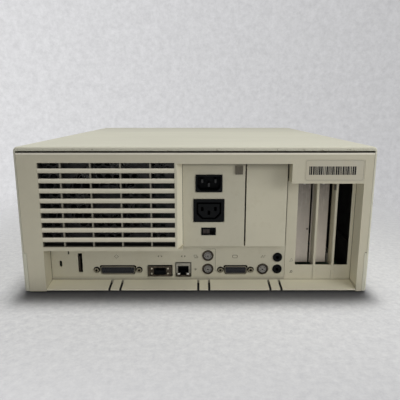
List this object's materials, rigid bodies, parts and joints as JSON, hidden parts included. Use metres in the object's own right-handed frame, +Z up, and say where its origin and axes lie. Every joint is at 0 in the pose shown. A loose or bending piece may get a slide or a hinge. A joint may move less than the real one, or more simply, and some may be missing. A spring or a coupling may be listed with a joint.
{
  "type": "desktop computer",
  "caption": "Low cream desktop computer seen from its port side: vent grille, power sockets, port row, card slots, slide-off cover, drives and logic board inside.",
  "frame": {"origin": "middle of the footprint, at the height of the surface that the feet stand on", "axes": "+Z up, -Y out of the port side, +Y out of the front bezel, +X to the right when the port side is seen"},
  "size_m": [0.365, 0.43, 0.156],
  "materials": {
    "frame_plastic": "moulded cream plastic, lightly textured, slightly yellowed",
    "cover_plastic": "moulded cream plastic, lightly textured, scuffed",
    "panel_paint": "cream paint on sheet steel",
    "label_film": "plain printed film label",
    "foot_rubber": "grey-black rubber",
    "button_plastic": "moulded grey-cream plastic",
    "lens_clear": "clear light pipe",
    "black_plastic": "black moulded plastic",
    "port_grey": "grey moulded plastic",
    "plated_steel": "zinc-plated sheet steel",
    "slot_cover_steel": "dull grey-brown plated steel",
    "brass_posts": "nickel-brass turned posts",
    "bright_blades": "bright plated contacts",
    "selector_red": "dark red-brown moulded plastic",
    "tab_steel": "rust-brown passivated steel",
    "circuit_board": "green circuit board",
    "chip_plastic": "black epoxy chips",
    "socket_plastic": "ivory socket plastic",
    "fan_plastic": "black fan plastic",
    "cast_aluminium": "cast aluminium",
    "fin_aluminium": "extruded aluminium",
    "paper_cone": "black paper cone",
    "screw_steel": "plated steel screws",
    "battery_wrap": "wrapped cell",
    "ribbon_grey": "grey ribbon cable"
  },
  "bodies": {
    "chassis": {"base_pan": "frame_plastic", "feet": "foot_rubber", "rear_frame": "frame_plastic", "rating_label": "label_film", "vent_grille": "frame_plastic", "port_panel": "panel_paint", "psu_panel": "panel_paint", "blank_panel": "panel_paint", "expansion_frame": "frame_plastic", "slot_covers": "slot_cover_steel", "screws": "screw_steel", "cover_keepers": "plated_steel", "power_inlet": "black_plastic", "inlet_blades": "bright_blades", "power_outlet": "black_plastic", "voltage_selector": "black_plastic", "ground_clip": "plated_steel", "scsi_port_shell": "plated_steel", "video_port_shell": "plated_steel", "dsub_port_cores": "black_plastic", "port_jackposts": "brass_posts", "wide_network_port": "black_plastic", "network_socket": "black_plastic", "port_shields": "plated_steel", "round_port_cores": "port_grey", "audio_jacks": "black_plastic", "lock_tab": "tab_steel", "psu_case": "plated_steel", "vent_screen": "plated_steel", "psu_circuit": "circuit_board", "fan_frame": "fan_plastic", "carriage": "frame_plastic", "cd_case": "plated_steel", "cd_mechanism": "chip_plastic", "cd_fascia": "cover_plastic", "floppy_drive": "plated_steel", "hard_drive": "cast_aluminium", "front_switch_board": "circuit_board", "speaker_basket": "plated_steel", "speaker_cone": "paper_cone", "logic_board": "circuit_board", "logic_chips": "chip_plastic", "board_sockets": "socket_plastic", "memory_modules": "circuit_board", "processor_card": "circuit_board", "processor_heatsink": "fin_aluminium", "clock_battery": "battery_wrap", "drive_ribbon": "ribbon_grey"},
    "cover": {"top_cover": "cover_plastic", "front_bezel": "cover_plastic", "power_light_lens": "lens_clear"},
    "power_button": {"power_button": "button_plastic"},
    "reset_button": {"reset_button": "button_plastic"},
    "interrupt_button": {"interrupt_button": "button_plastic"},
    "left_latch": {"cover_latch_left": "cover_plastic"},
    "right_latch": {"cover_latch_right": "cover_plastic"},
    "fan_rotor": {"fan_rotor": "fan_plastic"},
    "voltage_slider": {"voltage_slider": "selector_red"},
    "cd_tray": {"cd_tray": "chip_plastic"},
    "cd_eject_button": {"cd_eject_button": "button_plastic"}
  },
  "joints": [
    {"name": "cover_slide", "type": "slide", "parent": "chassis", "child": "cover", "axis": [0, 1, 0], "range_m": [0, 0.44]},
    {"name": "power_button_press", "type": "slide", "parent": "cover", "child": "power_button", "axis": [0, -1, 0], "range_m": [0, 0.0025], "stiffness_N_per_m": 400},
    {"name": "reset_button_press", "type": "slide", "parent": "cover", "child": "reset_button", "axis": [0, -1, 0], "range_m": [0, 0.002], "stiffness_N_per_m": 300},
    {"name": "interrupt_button_press", "type": "slide", "parent": "cover", "child": "interrupt_button", "axis": [0, -1, 0], "range_m": [0, 0.002], "stiffness_N_per_m": 300},
    {"name": "left_latch_press", "type": "slide", "parent": "cover", "child": "left_latch", "axis": [0, 0, 1], "range_m": [0, 0.003], "stiffness_N_per_m": 500},
    {"name": "right_latch_press", "type": "slide", "parent": "cover", "child": "right_latch", "axis": [0, 0, 1], "range_m": [0, 0.003], "stiffness_N_per_m": 500},
    {"name": "fan_spin", "type": "hinge", "parent": "chassis", "child": "fan_rotor", "pos_m": [-0.092, -0.1845, 0.097], "axis": [0, 1, 0], "continuous": true},
    {"name": "voltage_slide", "type": "slide", "parent": "chassis", "child": "voltage_slider", "axis": [1, 0, 0], "range_m": [0, 0.005]},
    {"name": "cd_tray_slide", "type": "slide", "parent": "chassis", "child": "cd_tray", "axis": [0, 1, 0], "range_m": [0, 0.13]},
    {"name": "cd_eject_press", "type": "slide", "parent": "chassis", "child": "cd_eject_button", "axis": [0, -1, 0], "range_m": [0, 0.0012], "stiffness_N_per_m": 300}
  ]
}
